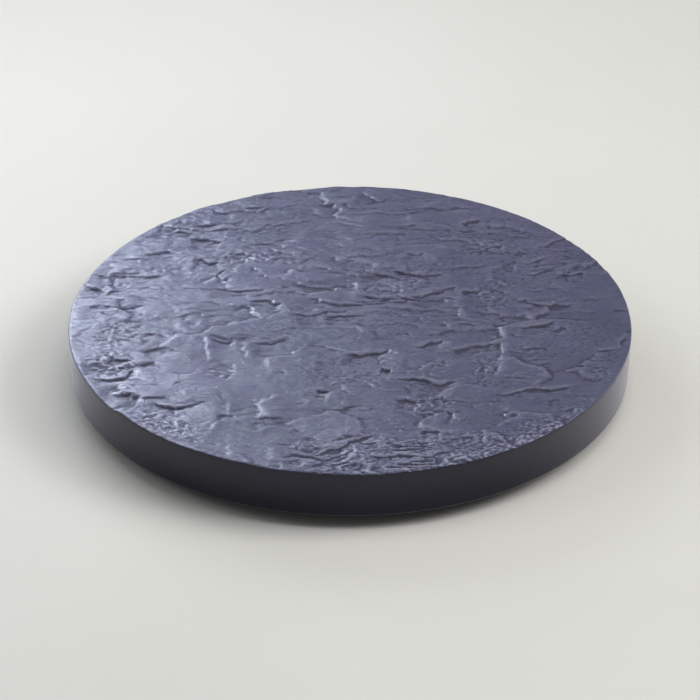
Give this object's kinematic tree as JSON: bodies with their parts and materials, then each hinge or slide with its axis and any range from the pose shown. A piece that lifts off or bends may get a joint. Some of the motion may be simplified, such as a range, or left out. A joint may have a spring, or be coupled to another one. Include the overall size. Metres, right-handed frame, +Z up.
{
  "type": "plant pot caddy",
  "caption": "Round plant pot caddy: a slate-textured plastic deck whose smooth skirt hides swivelling castors, for rolling a heavy pot about.",
  "frame": {"origin": "on the floor, straight under the middle of the deck", "axes": "+Z up; -Y towards the front, which is the way the castors trail at rest; +X to the right seen from the front"},
  "size_m": [0.3, 0.3, 0.0355],
  "materials": {
    "deck_plastic": "moulded polypropylene: riven slate texture on top in blue grey, smooth satin dark charcoal skirt, plain moulded underside",
    "zinc_sheet": "pressed steel sheet, bright zinc plated",
    "bright_steel": "turned and headed steel, zinc plated",
    "wheel_nylon": "natural nylon, satin",
    "tread_rubber": "dark grey rubber, matt"
  },
  "bodies": {
    "caddy": {"deck": "deck_plastic", "front_left_screw_a": "bright_steel", "front_left_screw_b": "bright_steel", "front_left_screw_c": "bright_steel", "front_left_screw_d": "bright_steel", "front_left_plate": "zinc_sheet", "front_left_kingpin": "bright_steel", "front_right_screw_a": "bright_steel", "front_right_screw_b": "bright_steel", "front_right_screw_c": "bright_steel", "front_right_screw_d": "bright_steel", "front_right_plate": "zinc_sheet", "front_right_kingpin": "bright_steel", "rear_right_screw_a": "bright_steel", "rear_right_screw_b": "bright_steel", "rear_right_screw_c": "bright_steel", "rear_right_screw_d": "bright_steel", "rear_right_plate": "zinc_sheet", "rear_right_kingpin": "bright_steel", "rear_left_screw_a": "bright_steel", "rear_left_screw_b": "bright_steel", "rear_left_screw_c": "bright_steel", "rear_left_screw_d": "bright_steel", "rear_left_plate": "zinc_sheet", "rear_left_kingpin": "bright_steel"},
    "front_left_swivel": {"front_left_fork": "zinc_sheet", "front_left_axle": "bright_steel"},
    "front_left_roller": {"front_left_wheel": "wheel_nylon", "front_left_tread": "tread_rubber"},
    "front_left_race": {"front_left_ball_ring": "bright_steel"},
    "front_right_swivel": {"front_right_fork": "zinc_sheet", "front_right_axle": "bright_steel"},
    "front_right_roller": {"front_right_wheel": "wheel_nylon", "front_right_tread": "tread_rubber"},
    "front_right_race": {"front_right_ball_ring": "bright_steel"},
    "rear_right_swivel": {"rear_right_fork": "zinc_sheet", "rear_right_axle": "bright_steel"},
    "rear_right_roller": {"rear_right_wheel": "wheel_nylon", "rear_right_tread": "tread_rubber"},
    "rear_right_race": {"rear_right_ball_ring": "bright_steel"},
    "rear_left_swivel": {"rear_left_fork": "zinc_sheet", "rear_left_axle": "bright_steel"},
    "rear_left_roller": {"rear_left_wheel": "wheel_nylon", "rear_left_tread": "tread_rubber"},
    "rear_left_race": {"rear_left_ball_ring": "bright_steel"}
  },
  "joints": [
    {"name": "front_left_swivel_turn", "type": "hinge", "parent": "caddy", "child": "front_left_swivel", "pos_m": [-0.079, -0.079, 0.0263], "axis": [0, 0, 1], "continuous": true},
    {"name": "front_left_wheel_spin", "type": "hinge", "parent": "front_left_swivel", "child": "front_left_roller", "pos_m": [-0.079, -0.09, 0.0125], "axis": [1, 0, 0], "continuous": true},
    {"name": "front_left_race_turn", "type": "hinge", "parent": "caddy", "child": "front_left_race", "pos_m": [-0.079, -0.079, 0.028], "axis": [0, 0, 1], "continuous": true},
    {"name": "front_right_swivel_turn", "type": "hinge", "parent": "caddy", "child": "front_right_swivel", "pos_m": [0.079, -0.079, 0.0263], "axis": [0, 0, 1], "continuous": true},
    {"name": "front_right_wheel_spin", "type": "hinge", "parent": "front_right_swivel", "child": "front_right_roller", "pos_m": [0.079, -0.09, 0.0125], "axis": [1, 0, 0], "continuous": true},
    {"name": "front_right_race_turn", "type": "hinge", "parent": "caddy", "child": "front_right_race", "pos_m": [0.079, -0.079, 0.028], "axis": [0, 0, 1], "continuous": true},
    {"name": "rear_right_swivel_turn", "type": "hinge", "parent": "caddy", "child": "rear_right_swivel", "pos_m": [0.079, 0.079, 0.0263], "axis": [0, 0, 1], "continuous": true},
    {"name": "rear_right_wheel_spin", "type": "hinge", "parent": "rear_right_swivel", "child": "rear_right_roller", "pos_m": [0.079, 0.068, 0.0125], "axis": [1, 0, 0], "continuous": true},
    {"name": "rear_right_race_turn", "type": "hinge", "parent": "caddy", "child": "rear_right_race", "pos_m": [0.079, 0.079, 0.028], "axis": [0, 0, 1], "continuous": true},
    {"name": "rear_left_swivel_turn", "type": "hinge", "parent": "caddy", "child": "rear_left_swivel", "pos_m": [-0.079, 0.079, 0.0263], "axis": [0, 0, 1], "continuous": true},
    {"name": "rear_left_wheel_spin", "type": "hinge", "parent": "rear_left_swivel", "child": "rear_left_roller", "pos_m": [-0.079, 0.068, 0.0125], "axis": [1, 0, 0], "continuous": true},
    {"name": "rear_left_race_turn", "type": "hinge", "parent": "caddy", "child": "rear_left_race", "pos_m": [-0.079, 0.079, 0.028], "axis": [0, 0, 1], "continuous": true}
  ],
  "couplings": [
    {"joint": "front_left_race_turn", "follows": "front_left_swivel_turn", "ratio": 0.5},
    {"joint": "front_right_race_turn", "follows": "front_right_swivel_turn", "ratio": 0.5},
    {"joint": "rear_right_race_turn", "follows": "rear_right_swivel_turn", "ratio": 0.5},
    {"joint": "rear_left_race_turn", "follows": "rear_left_swivel_turn", "ratio": 0.5}
  ]
}
